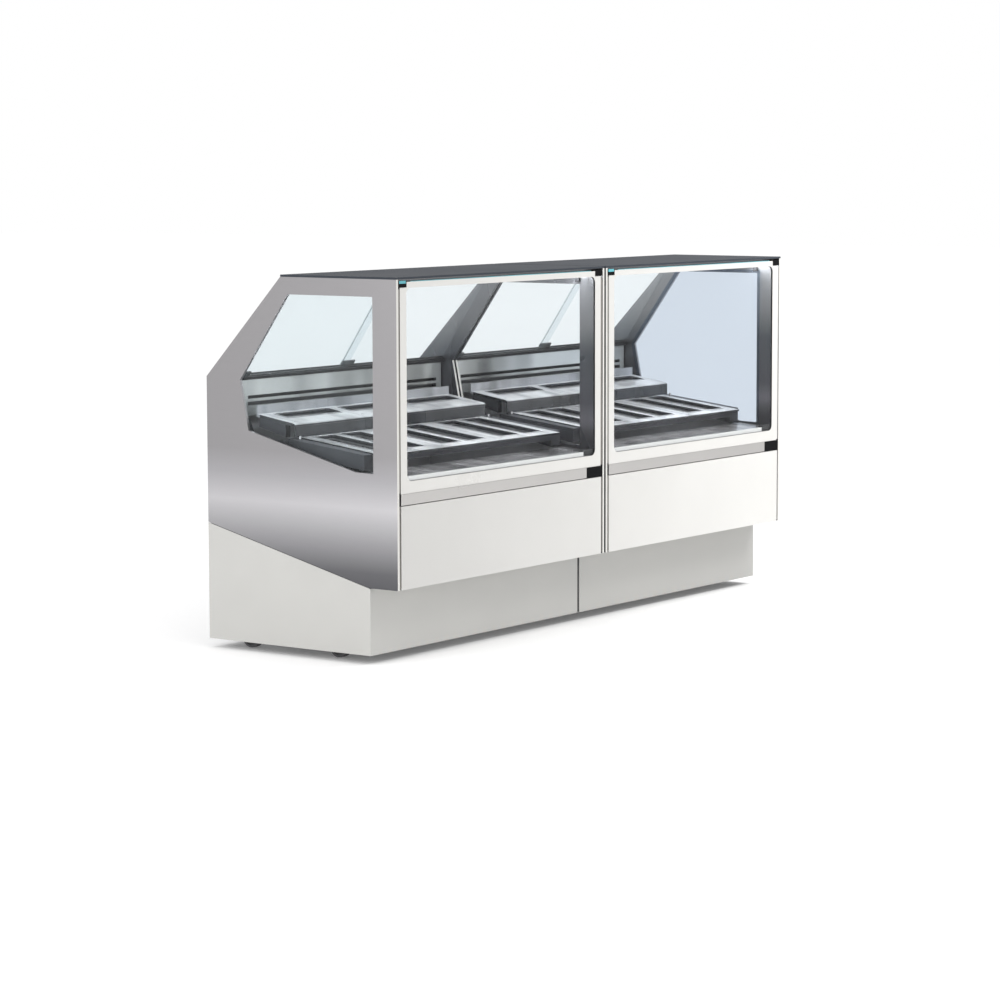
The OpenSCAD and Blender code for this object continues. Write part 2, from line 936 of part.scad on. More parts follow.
rocker(0);  // rocker_1
rocker(1);  // rocker_2
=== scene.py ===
"""Ice cream dipping cabinet: materials, fine pieces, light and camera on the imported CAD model."""

import math

import bmesh
import bpy
from mathutils import Euler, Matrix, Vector
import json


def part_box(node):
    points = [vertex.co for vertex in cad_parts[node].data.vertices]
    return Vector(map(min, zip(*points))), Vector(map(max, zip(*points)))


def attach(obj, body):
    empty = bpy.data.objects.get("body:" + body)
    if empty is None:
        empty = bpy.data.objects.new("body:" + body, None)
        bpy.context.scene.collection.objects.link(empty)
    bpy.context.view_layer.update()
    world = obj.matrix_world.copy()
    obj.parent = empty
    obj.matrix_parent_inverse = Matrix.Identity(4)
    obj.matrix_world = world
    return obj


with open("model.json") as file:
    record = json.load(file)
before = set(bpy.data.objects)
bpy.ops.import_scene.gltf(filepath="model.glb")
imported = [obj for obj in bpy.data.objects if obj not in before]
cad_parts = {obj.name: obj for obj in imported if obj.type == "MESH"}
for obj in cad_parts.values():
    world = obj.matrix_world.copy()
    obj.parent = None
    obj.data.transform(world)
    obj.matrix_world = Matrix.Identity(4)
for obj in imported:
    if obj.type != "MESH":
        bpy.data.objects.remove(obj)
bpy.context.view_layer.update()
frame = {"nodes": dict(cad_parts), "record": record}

NODES = frame["nodes"]
MM = 0.001
MODULES = (1, 2)
HALF_LENGTH = 1.2
PLATE_BOTTOM, PLATE_TOP = 0.25, 1.25  # the end and joint plates, above the floor

# ---------------------------------------------------------------- materials

WHITE = (1.0, 1.0, 1.0)
# how closely a noise repeats along X, Y and Z
FINE = (300, 300, 300)
LONG_X = (3, 900, 900)
LONG_Z = (900, 900, 6)
BRUSHED_Y = (900, 8, 900)
SOFT = (30, 30, 30)
NOISE_LOW, NOISE_HIGH = 0.3, 0.7  # most of a noise's values lie between these
COLOUR_A, COLOUR_B, COLOUR_OUT = 6, 7, 2  # the Mix node's colour sockets, which share their names


class Nodes:
    """A material's node tree, with short calls for the nodes used here."""

    def __init__(self, name):
        self.material = bpy.data.materials.new(name)
        self.material.use_nodes = True
        self.tree = self.material.node_tree
        self.shader = self.tree.nodes["Principled BSDF"]
        self.output = self.tree.nodes["Material Output"]
        self.coords = self.add("ShaderNodeTexCoord").outputs["Object"]

    def add(self, kind, **sockets):
        """A new node, with values for the named input sockets."""
        node = self.tree.nodes.new(kind)
        for key, value in sockets.items():
            node.inputs[key].default_value = value
        return node

    def link(self, source, target):
        self.tree.links.new(source, target)

    def colour(self, source):
        self.link(source, self.shader.inputs["Base Color"])

    def roughness(self, source):
        self.link(source, self.shader.inputs["Roughness"])

    def level(self, socket, value):
        """One value of the shader that is the same all over."""
        self.shader.inputs[socket].default_value = value

    def axes(self, vector):
        """The X, Y and Z outputs of a vector."""
        split = self.add("ShaderNodeSeparateXYZ")
        self.link(vector, split.inputs["Vector"])
        return split.outputs

    def position(self):
        return self.axes(self.coords)

    def normal(self):
        return self.axes(self.add("ShaderNodeNewGeometry").outputs["Normal"])

    def noise(self, stretch, detail=4.0):
        mapping = self.add("ShaderNodeMapping", Scale=stretch)
        self.link(self.coords, mapping.inputs["Vector"])
        noise = self.add("ShaderNodeTexNoise", Scale=1.0, Detail=detail, Roughness=0.6)
        self.link(mapping.outputs["Vector"], noise.inputs["Vector"])
        return noise.outputs["Fac"]

    def ramp(self, source, stops):
        ramp = self.add("ShaderNodeValToRGB")
        elements = ramp.color_ramp.elements
        elements[0].position, elements[0].color = stops[0][0], (*stops[0][1], 1)
        elements[1].position, elements[1].color = stops[-1][0], (*stops[-1][1], 1)
        for place, colour in stops[1:-1]:
            elements.new(place).color = (*colour, 1)
        self.link(source, ramp.inputs["Fac"])
        return ramp.outputs["Color"]

    def tones(self, noise, dark, light):
        """A colour that goes from dark to light as the noise does."""
        return self.ramp(noise, [(NOISE_LOW, dark), (NOISE_HIGH, light)])

    def grain(self, noise):
        """A faint light and dark tone, to multiply a colour by."""
        return self.tones(noise, (0.95, 0.95, 0.95), WHITE)

    def maths(self, operation, *terms):
        """The result of one Math node, whose terms are sockets or numbers."""
        node = self.add("ShaderNodeMath")
        node.operation = operation
        for socket, term in zip(node.inputs, terms):
            if isinstance(term, float):
                socket.default_value = term
            else:
                self.link(term, socket)
        return node.outputs[0]

    def multiply(self, first, second):
        shade = self.add("ShaderNodeMix")
        shade.data_type = "RGBA"
        shade.blend_type = "MULTIPLY"
        shade.inputs["Factor"].default_value = 1.0
        self.link(first, shade.inputs[COLOUR_A])
        self.link(second, shade.inputs[COLOUR_B])
        return shade.outputs[COLOUR_OUT]

    def pick(self, share, first, second):
        """The first colour where the share is 0, and the second where it is 1."""
        pick = self.add("ShaderNodeMix")
        pick.data_type = "RGBA"
        self.link(share, pick.inputs["Factor"])
        self.link(first, pick.inputs[COLOUR_A])
        self.link(second, pick.inputs[COLOUR_B])
        return pick.outputs[COLOUR_OUT]

    def span(self, source, low, high, to_low=0.0, to_high=1.0):
        node = self.add("ShaderNodeMapRange")
        for key, value in zip(("From Min", "From Max", "To Min", "To Max"), (low, high, to_low, to_high)):
            node.inputs[key].default_value = value
        self.link(source, node.inputs["Value"])
        return node.outputs["Result"]

    def vary(self, noise, low, high):
        """A value that goes from low to high as the noise does."""
        return self.span(noise, NOISE_LOW, NOISE_HIGH, low, high)

    def painted_side_shade(self, colours, side):
        """The colours, times the side tone, a painted shade, on faces that look neither up nor down."""
        flatness = self.maths("ABSOLUTE", self.normal()["Z"])
        return self.multiply(colours, self.ramp(flatness, [(0.35, side), (0.9, WHITE)]))

    def painted_front_edge(self, face, edge, reach_y, facing):
        """The edge colour, a painted highlight, on faces that look to the customer, ahead of reach_y, and the
        face colour elsewhere. The second result is the edge's share.
        """
        front = self.maths("MULTIPLY", self.span(self.normal()["Y"], *facing, 1.0, 0.0),
                           self.span(self.position()["Y"], reach_y, reach_y + 0.005, 1.0, 0.0))
        return self.pick(front, face, edge), front

    def bump(self, source, strength):
        bump = self.add("ShaderNodeBump", Strength=strength, Distance=0.5 * MM)
        self.link(source, bump.inputs["Height"])
        self.link(bump.outputs["Normal"], self.shader.inputs["Normal"])


def scaled(colour, factor):
    return tuple(min(1.0, c * factor) for c in colour)


def surface(name, colour, rough, metal=0.0, grain=FINE, spread=0.06, rough_spread=0.06, bump=0.05,
            coat=0.0, side=None, gloss=0.5, ends=None):
    """A procedural surface: colour and roughness vary with a stretched grain, over a slow stain.

    side is the tone of the upright faces, a painted shade where they differ from the flat ones, and
    ends holds the tones at the object's left and right ends: painted light and shade along X.
    """
    m = Nodes(name)
    fine = m.noise(grain)
    stain = m.vary(m.noise((3, 3, 3), 2.0), 0.0, 0.6)
    mix = m.maths("MULTIPLY_ADD", fine, 0.4, stain)
    colours = m.ramp(mix, [(0.25, scaled(colour, 1 - spread)), (0.75, scaled(colour, 1 + spread))])
    # upright faces take the side tone, a painted shade
    if side:
        colours = m.painted_side_shade(colours, side)
    # painted light and shade: the tone changes from the left end to the right end
    if ends:
        along = m.span(m.position()["X"], -HALF_LENGTH, HALF_LENGTH)
        colours = m.multiply(colours, m.ramp(along, [(0.1, (ends[0],) * 3), (0.9, (ends[1],) * 3)]))
    m.colour(colours)
    m.roughness(m.span(mix, 0.2, 0.8, max(0.02, rough - rough_spread), rough + rough_spread))
    m.level("Specular IOR Level", gloss)
    m.level("Metallic", metal)
    m.level("Coat Weight", coat)
    m.level("Coat Roughness", 0.08)
    m.bump(fine, bump)
    return m.material


def polished(name, top, side, stretch, metal=0.5, rough=0.2, dark=0.7, bright_from=None):
    """Smooth steel with broad soft streaks, a painted reflection. Flat faces take the top colour and upright
    ones the side tone, a painted shade, and behind bright_from, a Y position, that painted shade on the
    upright faces is lighter.
    """
    m = Nodes(name)
    # broad soft streaks that stand in for soft reflections, a painted reflection
    streak = m.noise(stretch, 2.0)
    colours = m.multiply(m.ramp(streak, [(0.35, scaled(top, dark)), (0.6, top)]), m.grain(m.noise(SOFT, 2.0)))
    shaded = m.painted_side_shade(colours, side)
    if bright_from is not None:
        behind = m.span(m.position()["Y"], bright_from, bright_from + 0.004)
        # behind bright_from, a lighter painted shade on the upright faces
        shaded = m.pick(behind, shaded, m.painted_side_shade(colours, (0.45, 0.46, 0.48)))
    m.colour(shaded)
    m.roughness(m.vary(streak, rough - 0.04, rough + 0.06))
    m.level("Metallic", metal)
    m.bump(streak, 0.02)
    return m.material


def clear_glass(name, tint, haze, blend, far_tint=None):
    """Thin clear pane: mostly see-through, with a light tinted film and a sharp reflection.

    far_tint is the tint at the object's right end, where it differs.
    """
    m = Nodes(name)
    see = m.add("ShaderNodeBsdfTransparent", Color=(*tint, 1))
    if far_tint:
        along = m.span(m.position()["X"], -HALF_LENGTH, HALF_LENGTH)
        m.link(m.ramp(along, [(0.3, tint), (0.7, far_tint)]), see.inputs["Color"])
    film = m.noise((4, 4, 4), 2.0)
    m.colour(m.tones(film, scaled(tint, 0.92), tint))
    m.roughness(m.vary(film, 0.05, 0.09))
    layer = m.add("ShaderNodeLayerWeight", Blend=blend)
    share = m.span(layer.outputs["Fresnel"], 0.0, 1.0, haze, 0.5)
    mix = m.add("ShaderNodeMixShader")
    m.link(share, mix.inputs["Fac"])
    m.link(see.outputs["BSDF"], mix.inputs[1])
    m.link(m.shader.outputs["BSDF"], mix.inputs[2])
    m.link(mix.outputs["Shader"], m.output.inputs["Surface"])
    return m.material


# the plates' tones by height, from their bottom edge (0) to their top edge (1): painted reflection bands and
# painted shade, with the inner faces darker as painted shade
OUTER_PAINTED_LIGHT = [(0.00, (0.105, 0.105, 0.113)), (0.05, (0.13, 0.13, 0.138)), (0.15, (0.315, 0.311, 0.323)),
               (0.26, (0.535, 0.526, 0.543)), (0.35, (0.385, 0.377, 0.394)), (0.43, (0.314, 0.306, 0.314)),
               (1.00, (0.322, 0.313, 0.322))]
INNER_PAINTED_LIGHT = [(0.00, (0.08, 0.08, 0.09)), (0.40, (0.10, 0.10, 0.11)), (0.47, (0.21, 0.20, 0.22)),
               (0.53, (0.12, 0.12, 0.135)), (0.70, (0.10, 0.107, 0.118)), (0.80, (0.22, 0.22, 0.225)),
               (1.00, (0.33, 0.33, 0.34))]


def end_steel():
    """Brushed end plates, whose tone changes with the height as painted reflection and shade, with dark inner
    faces in painted shade and light front edges as a painted highlight.
    """
    m = Nodes("brushed end steel")
    place = m.position()
    fine = m.noise(BRUSHED_Y, 6.0)
    height = m.span(place["Z"], PLATE_BOTTOM, PLATE_TOP)
    # the outer faces: painted reflection bands and painted shade by height
    outer = m.multiply(m.ramp(height, OUTER_PAINTED_LIGHT), m.grain(fine))
    # the inner faces: darker, a painted shade, with painted reflection bands by height
    inner = m.ramp(height, [(spot, scaled(colour, 1.1)) for spot, colour in INNER_PAINTED_LIGHT])
    outward = m.maths("MULTIPLY", m.normal()["X"], place["X"])
    face = m.pick(m.span(outward, -0.6, -0.2, 1.0, 0.0), outer, inner)
    # the front edges: a light, less metallic tone, a painted highlight
    edge = m.tones(fine, (0.62, 0.61, 0.58), (0.68, 0.67, 0.64))
    colour, front = m.painted_front_edge(face, edge, -0.396, (-0.6, -0.3))
    m.colour(colour)
    m.roughness(m.vary(fine, 0.29, 0.40))
    m.link(m.span(front, 0.0, 1.0, 0.85, 0.0), m.shader.inputs["Metallic"])
    m.bump(fine, 0.06)
    return m.material


def joint_steel():
    """Plates between the modules: dark polished faces in painted shade, lighter at the top as painted
    reflection, and light front edges as a painted highlight.
    """
    m = Nodes("joint steel")
    cloud = m.noise((2, 3, 2), 2.0)
    # painted shade and painted reflection bands by height
    tall = m.ramp(m.span(m.position()["Z"], PLATE_BOTTOM, PLATE_TOP), INNER_PAINTED_LIGHT)
    face = m.multiply(tall, m.ramp(cloud, [(0.35, (0.82, 0.82, 0.84)), (0.65, WHITE)]))
    # the front edges: a light tone, a painted highlight
    edge = m.tones(m.noise(SOFT, 2.0), (0.61, 0.60, 0.57), (0.67, 0.66, 0.63))
    colour, front = m.painted_front_edge(face, edge, 0.3, (-0.97, -0.9))
    m.colour(colour)
    m.roughness(m.vary(cloud, 0.24, 0.34))
    m.link(m.span(front, 0.0, 1.0, 0.6, 0.0), m.shader.inputs["Metallic"])
    m.bump(cloud, 0.02)
    return m.material


def sill_steel():
    """Sill with a bright front nose, a painted highlight, and a dark, streaked deck behind it, a painted
    shade.
    """
    m = Nodes("sill steel")
    fine = m.noise(LONG_X, 5.0)
    streaks = m.noise((14, 6, 1), 2.0)
    # the deck: a dark streaked tone, a painted shade
    deck = m.multiply(m.ramp(streaks, [(0.35, (0.22, 0.215, 0.22)), (0.65, (0.60, 0.59, 0.60))]),
                      m.grain(fine))
    # the nose: a bright tone, a painted highlight
    nose = m.tones(fine, (0.70, 0.70, 0.69), (0.80, 0.80, 0.79))
    m.colour(m.pick(m.span(m.position()["Y"], -0.374, -0.371, 1.0, 0.0), deck, nose))
    m.roughness(m.vary(fine, 0.20, 0.28))
    m.level("Metallic", 0.5)
    m.bump(streaks, 0.01)
    return m.material


def glow(name, colour, strength):
    """A lit plastic with a fine grain."""
    m = Nodes(name)
    tone = m.tones(m.noise((200, 200, 200)), scaled(colour, 0.93), colour)
    m.colour(tone)
    m.link(tone, m.shader.inputs["Emission Color"])
    m.level("Emission Strength", strength)
    m.level("Roughness", 0.4)
    return m.material


# a painted shade on the upright faces of the pan frames and their lips
PAINTED_UPRIGHT_SHADE = (0.045, 0.047, 0.053)  # the upright faces of the pan frames and their lips

# the look of each material slot in the record
mat = {
    "end_steel": end_steel(),
    "joint_steel": joint_steel(),
    "sill_steel": sill_steel(),
    "side_glass": clear_glass("side glass", (0.945, 0.965, 0.97), 0.015, 0.05, far_tint=(0.80, 0.84, 0.89)),
    "front_glass": clear_glass("front glass", (0.984, 0.99, 0.992), 0.006, 0.06),
    "door_glass": clear_glass("door glass", (0.935, 0.958, 0.968), 0.05, 0.04),
    "black_rubber": surface("black rubber", (0.02, 0.02, 0.022), 0.6),
    "roof_dark": surface("roof paint", (0.045, 0.051, 0.062), 0.6, spread=0.10, rough_spread=0.05, bump=0.03,
                         gloss=0.08),
    "frame_steel": surface("cross rail steel", (0.30, 0.30, 0.31), 0.35, 1.0, LONG_X),
    "lamp_body": surface("lamp aluminium", (0.55, 0.56, 0.57), 0.35, 0.9, LONG_X),
    # ends paint light and shade along X: the front panels lighter and the plinth darker to the right
    "front_white": surface("warm white paint", (0.65, 0.642, 0.62), 0.42, spread=0.015, rough_spread=0.04,
                           bump=0.03, coat=0.15, ends=(0.85, 1.0)),
    "plinth_grey": surface("plinth paint", (0.485, 0.481, 0.462), 0.45, spread=0.02, rough_spread=0.05,
                           bump=0.04, coat=0.05, ends=(1.0, 0.83)),
    "base_paint": surface("base frame paint", (0.10, 0.105, 0.11), 0.5, spread=0.12),
    "tub_shell": surface("tub shell", (0.06, 0.06, 0.065), 0.5, 0.2, spread=0.1),
    # the liner: a light painted shade on the upright faces
    "liner_steel": polished("liner steel", (0.55, 0.55, 0.57), (0.8, 0.8, 0.8), (3, 3, 3), 0.3, 0.35),
    "ledge_steel": polished("ledge steel", (0.72, 0.75, 0.745), WHITE, (2.6, 1, 0.6), dark=0.3),
    "track_black": surface("track plastic", (0.03, 0.03, 0.033), 0.5),
    # the pan frames: near-white tops with painted reflection streaks, and a painted shade on the upright
    # faces, lighter behind Y 0.206
    "pan_steel": polished("pan frame steel", (0.95, 0.96, 0.98), PAINTED_UPRIGHT_SHADE, (7, 3, 3), 0.22, 0.16, 0.55,
                          bright_from=0.206),
    # the supports: a painted shade on the upright faces
    "support_steel": surface("support steel", (0.085, 0.088, 0.098), 0.55, grain=(4, 6, 4), spread=0.3,
                             rough_spread=0.05, bump=0.01, side=(0.6, 0.6, 0.62), gloss=0.15),
    "pin_steel": surface("pin steel", (0.70, 0.70, 0.72), 0.2, 1.0),
    "coil_aluminium": surface("coil aluminium", (0.50, 0.51, 0.53), 0.4, 0.9, LONG_Z),
    "compressor_black": surface("compressor paint", (0.02, 0.02, 0.022), 0.35, spread=0.15),
    "tray_zinc": surface("tray zinc", (0.52, 0.54, 0.56), 0.45, 0.9, (25, 25, 25), spread=0.15),
    "rear_steel": surface("rear steel", (0.52, 0.52, 0.54), 0.33, 1.0, LONG_X, spread=0.05),
    "control_black": surface("control plastic", (0.025, 0.025, 0.028), 0.45),
    "castor_zinc": surface("castor zinc", (0.55, 0.57, 0.60), 0.4, 0.9, (60, 60, 60), spread=0.1),
    "rail_aluminium": surface("rail aluminium", (0.49, 0.478, 0.465), 0.30, 0.9, (2, 60, 60), spread=0.015,
                              rough_spread=0.03, bump=0.01),
    "corner_black": surface("gloss black", (0.003, 0.003, 0.0035), 0.5, spread=0.2, rough_spread=0.03,
                            bump=0.01, gloss=0.05),
    "pull_black": surface("pull plastic", (0.02, 0.02, 0.022), 0.4),
    "wheel_grey": surface("wheel tread", (0.10, 0.10, 0.105), 0.6, spread=0.12),
    "fan_grey": surface("fan plastic", (0.08, 0.08, 0.085), 0.5, spread=0.1),
    "rocker_red": surface("rocker plastic", (0.40, 0.02, 0.015), 0.3),
}
enamel = surface("printed enamel", (0.635, 0.626, 0.603), 0.30, spread=0.012, rough_spread=0.04, bump=0.01,
                 coat=0.2)
edge_teal = surface("glass edge", (0.10, 0.40, 0.46), 0.15, grain=LONG_X, spread=0.2)
edge_grey = surface("door edge", (0.22, 0.225, 0.23), 0.4, spread=0.08)
screw_steel = surface("screw steel", (0.55, 0.55, 0.57), 0.35, 1.0)
# the lips: painted reflection streaks on the tops and a painted shade on the upright faces
lip_steel = polished("lip steel", (0.96, 0.97, 1.0), PAINTED_UPRIGHT_SHADE, (9, 9, 3), 0.2, 0.14, 0.75)
# dark strips that stand in for the shade in the gaps between the plates and the glass, a painted shade
filler = surface("edge filler", (0.25, 0.235, 0.215), 0.5, spread=0.04)
diffuser = glow("lamp diffuser", (0.95, 0.97, 1.0), 40.0)
display_glow = glow("display segments", (0.10, 0.75, 0.35), 1.2)

# the CAD nodes' rounded edges, in millimetres
BEVELS = {
    "end_panel_left": 1.2, "end_panel_right": 1.2, "joint_panels": 1.2, "roof_panels": 1.0,
    "front_panels": 0.8, "kick_panels": 0.5, "plinth_ends": 0.5, "sills": 1.0, "ledges": 0.6,
    "lower_frames": 2.2, "upper_frames": 1.6, "tier_supports": 2.0, "grip_rail_1": 1.2,
    "grip_rail_2": 1.2, "corner_blocks_1": 1.0, "corner_blocks_2": 1.0, "front_glass_1": 0.8,
    "front_glass_2": 0.8, "frame_pins": 1.0, "lamps": 2.0, "roof_rails": 1.5, "door_tracks": 0.4,
    "control_modules": 1.0, "wheel_fl": 2.0, "wheel_fm": 2.0, "wheel_fr": 2.0, "wheel_rl": 2.0,
    "wheel_rm": 2.0, "wheel_rr": 2.0, "compressors": 4.0, "base_frame": 2.0, "rocker_1": 0.8,
    "rocker_2": 0.8, "door_1a": 0.5, "door_1b": 0.5, "door_2a": 0.5, "door_2b": 0.5,
    "fork_fl": 0.6, "fork_fr": 0.6, "fork_rl": 0.6, "fork_rr": 0.6, "castor_plates": 0.6,
}


def bevel(obj, width_mm):
    mod = obj.modifiers.new("edges", "BEVEL")
    mod.width = width_mm * MM
    mod.segments = 2
    mod.limit_method = "ANGLE"
    mod.angle_limit = math.radians(35)


slots = {s["node"]: s["material_slot"] for s in frame["record"]["subparts"]}
for name, obj in NODES.items():
    look = mat[slots[name]]
    if obj.material_slots:
        for place in obj.material_slots:
            place.material = look
    else:
        obj.data.materials.append(look)
    if name in BEVELS:
        bevel(obj, BEVELS[name])

# ---------------------------------------------------------------- ways to make a piece

# the six faces of a box whose corners are counted with Z fastest and X slowest
BOX_FACES = [(0, 1, 3, 2), (4, 6, 7, 5), (0, 4, 5, 1), (2, 3, 7, 6), (0, 2, 6, 4), (1, 5, 7, 3)]


def finish_piece(obj, material, body):
    obj.data.materials.append(material)
    bpy.context.scene.collection.objects.link(obj)
    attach(obj, body)


def mesh_object(name, vertices, faces):
    mesh = bpy.data.meshes.new(name)
    mesh.from_pydata(vertices, [], faces)
    mesh.update()
    build = bmesh.new()
    build.from_mesh(mesh)
    bmesh.ops.recalc_face_normals(build, faces=build.faces)
    build.to_mesh(mesh)
    build.free()
    return bpy.data.objects.new(name, mesh)


def joined(name, parts, material, body, smooth=False):
    """One piece from several lists of vertices and faces."""
    vertices, faces = [], []
    for part_vertices, part_faces in parts:
        base = len(vertices)
        vertices += part_vertices
        faces += [tuple(base + i for i in face) for face in part_faces]
    obj = mesh_object(name, vertices, faces)
    for polygon in obj.data.polygons:
        polygon.use_smooth = smooth
    finish_piece(obj, material, body)


def box_part(x_range, y_range, z_range):
    return [(x, y, z) for x in x_range for y in y_range for z in z_range], BOX_FACES


def block(name, x_range, y_range, z_range, material, body, edge=0.0):
    """A box, with its edges rounded by the given millimetres."""
    obj = mesh_object(name, *box_part(x_range, y_range, z_range))
    finish_piece(obj, material, body)
    if edge:
        bevel(obj, edge)


def rings_faces(count, rings):
    """Faces between rings of count points each, with the last ring joined to the first."""
    faces = []
    for k in range(rings):
        a, b = k * count, (k + 1) % rings * count
        for i in range(count):
            j = (i + 1) % count
            faces.append((a + i, a + j, b + j, b + i))
    return faces


def rounded(x0, x1, z0, z1, radius, steps=8):
    """The points round a rectangle with round corners, from its high corner."""
    points = []
    for cx, cz, start in ((x1 - radius, z1 - radius, 0), (x0 + radius, z1 - radius, 90),
                          (x0 + radius, z0 + radius, 180), (x1 - radius, z0 + radius, 270)):
        for k in range(steps + 1):
            a = math.radians(start + 90 * k / steps)
            points.append((cx + radius * math.cos(a), cz + radius * math.sin(a)))
    return points


def flat_ring(name, outer, inner, y0, y1, material, body):
    """A flat ring between two upright loops of equal length, from y0 to y1."""
    rings = ((outer, y0), (inner, y0), (inner, y1), (outer, y1))
    vertices = [(x, y, z) for loop, y in rings for x, z in loop]
    obj = mesh_object(name, vertices, rings_faces(len(outer), len(rings)))
    finish_piece(obj, material, body)


def lip_ring(x0, x1, y0, y1, height, depth):
    """A folded lip round one pan opening: a flat flange, and a skirt of the given depth below it.

    height gives the frame's top at a Y position.
    """
    radius, width, inset, rise = 8 * MM, 4 * MM, 0.8 * MM, 1.6 * MM
    outer = rounded(x0 - width, x1 + width, y0 - width, y1 + width, radius + width)
    inner = rounded(x0, x1, y0, y1, radius)
    skirt = rounded(x0 + inset, x1 - inset, y0 + inset, y1 - inset, radius)
    rings = [(outer, 0.1 * MM), (outer, rise), (inner, rise + 0.3 * MM), (skirt, rise - 0.4 * MM),
             (skirt, -depth), (inner, -depth), (inner, 0.1 * MM)]
    vertices = [(x, y, height(y) + dz) for ring, dz in rings for x, y in ring]
    return vertices, rings_faces(len(outer), len(rings))


# a tier of pan frames: the Y and Z of its top's front edge, and how fast it rises to the back
LOWER_FRONT_Y, LOWER_FRONT_Z, LOWER_RISE = -0.278, 0.679, 0.1207
UPPER_FRONT_Y, UPPER_FRONT_Z, UPPER_RISE = 0.057, 0.767, 0.16


def lower_height(y):
    return LOWER_FRONT_Z + LOWER_RISE * (y - LOWER_FRONT_Y)


def upper_height(y):
    return UPPER_FRONT_Z + UPPER_RISE * (y - UPPER_FRONT_Y)


def screw_head(x, y, z):
    """A short round head that stands out along Y."""
    radius, thickness, sides = 5 * MM, 2.2 * MM, 20
    angles = [2 * math.pi * k / sides for k in range(sides)]
    vertices = [(x + radius * math.cos(a), at, z + radius * math.sin(a))
                for at in (y, y + thickness) for a in angles]
    faces = [tuple(range(sides)), tuple(range(2 * sides - 1, sides - 1, -1))]
    faces += [(k, (k + 1) % sides, sides + (k + 1) % sides, sides + k) for k in range(sides)]
    return vertices, faces


# the rear doors' plane: its top edge, the way down it and the way out of it, as Y and Z
DOOR_ORIGIN = Vector((0.077, 1.250))
DOOR_DOWN = Vector((0.5637, -0.826))
DOOR_OUT = Vector((0.826, 0.5637))


def door_block(name, x, s, n, material, body):
    """A block in the rear doors' slope: s runs down it and n points out of it, in millimetres."""
    corners = []
    for cx in x:
        for cs in s:
            for cn in n:
                at = DOOR_ORIGIN + DOOR_DOWN * cs * MM + DOOR_OUT * cn * MM
                corners.append((cx, at.x, at.y))
    finish_piece(mesh_object(name, corners, BOX_FACES), material, body)


# ---------------------------------------------------------------- pieces on the glass doors


def glass_pieces(m):
    """Printed border with round inner corners, its dark backing and the tinted edge above it."""
    low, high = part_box(f"front_glass_{m}")
    body = f"glass_door_{m}"
    gap = 0.05 * MM
    side, foot, head, round_corner = 35 * MM, 58 * MM, 20 * MM, 22 * MM
    inner = rounded(low[0] + side, high[0] - side, low[2] + foot, high[2] - head, round_corner)
    outer = rounded(low[0] + 0.5 * MM, high[0] - 0.5 * MM, low[2] + 18.4 * MM, high[2] - 0.6 * MM, 1.5 * MM)
    face, back = low[1] - gap, high[1] + gap
    flat_ring(f"printed_border_{m}", outer, inner, face - 0.4 * MM, face, enamel, body)
    flat_ring(f"printed_backing_{m}", outer, inner, back, back + 0.3 * MM, mat["black_rubber"], body)
    caps = 60 * MM
    block(f"glass_edge_{m}", (low[0] + caps, high[0] - caps), (low[1] - 0.3 * MM, high[1]),
          (high[2] - 0.4 * MM, high[2] + 1.4 * MM), edge_teal, body)


for m in MODULES:
    glass_pieces(m)

# ---------------------------------------------------------------- pieces on the body

kick_low, kick_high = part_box("kick_panels")
block("kick_seam_backing", (-7 * MM, 7 * MM), (kick_high[1], kick_high[1] + 1.5 * MM),
      (kick_low[2] + 2 * MM, kick_high[2] - 2 * MM), mat["black_rubber"], "body", 0.3)

lamp_low, lamp_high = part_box("lamps")
grille_low, grille_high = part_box("rear_grilles")
cover_low, cover_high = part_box("rear_covers")
BACK = cover_high[1]
PLATE_SIDE = 10.3 * MM  # the plates' thickness and a little room
GLASS_SIDE = 19.4 * MM  # from a module's end to just short of its front glass
CLIP_Y, CLIP_Z = (-0.306, -0.288), (1.203, 1.222)
FILLER_Y = (-0.3975, -0.389)
FILLER_Z = ((0.256, 0.5225), (0.566, 1.222))  # below and above the grip rail
SILL_CORNER_Y, SILL_CORNER_Z = (-0.3915, -0.372), (0.602, 0.624)
CAP_EDGE_Y, CAP_EDGE_Z = (-0.4008, -0.4002), (1.2395, 1.2488)
# the pan openings, with X in millimetres from the module's left end and Y in metres
LOWER_X = [(a, a + 108) for a in (125, 267, 465, 607, 805, 947)]
UPPER_X = [(105, 395), (445, 735), (785, 1075)]
LOWER_Y, UPPER_Y = (-0.234, 0.049), (0.136, 0.199)


def lamp_pieces(m, left, right):
    """The lamp's diffuser and its dark end clip."""
    block(f"lamp_diffuser_{m}", (left + 24 * MM, right - 24 * MM),
          (lamp_low[1] + 4 * MM, lamp_high[1] - 4 * MM), (lamp_low[2] - 3 * MM, lamp_low[2]), diffuser,
          "body", 1.0)
    block(f"lamp_clip_{m}", (right - 19 * MM, right - PLATE_SIDE), CLIP_Y, CLIP_Z, mat["track_black"],
          "body", 1.5)


def fillers(m, left, right):
    """Strips between the plates and the glass, above and below the rail: dark as a painted shade in the gaps,
    except at module 2's right end, which takes the enamel.
    """
    for side, x0, x1 in (("left", left + PLATE_SIDE, left + GLASS_SIDE),
                         ("right", right - GLASS_SIDE, right - PLATE_SIDE)):
        look = enamel if (side, m) == ("right", 2) else filler
        for part, z_range in zip(("low", "high"), FILLER_Z):
            block(f"edge_filler_{side}_{part}_{m}", (x0, x1), FILLER_Y, z_range, look, "body",
                  0.8)


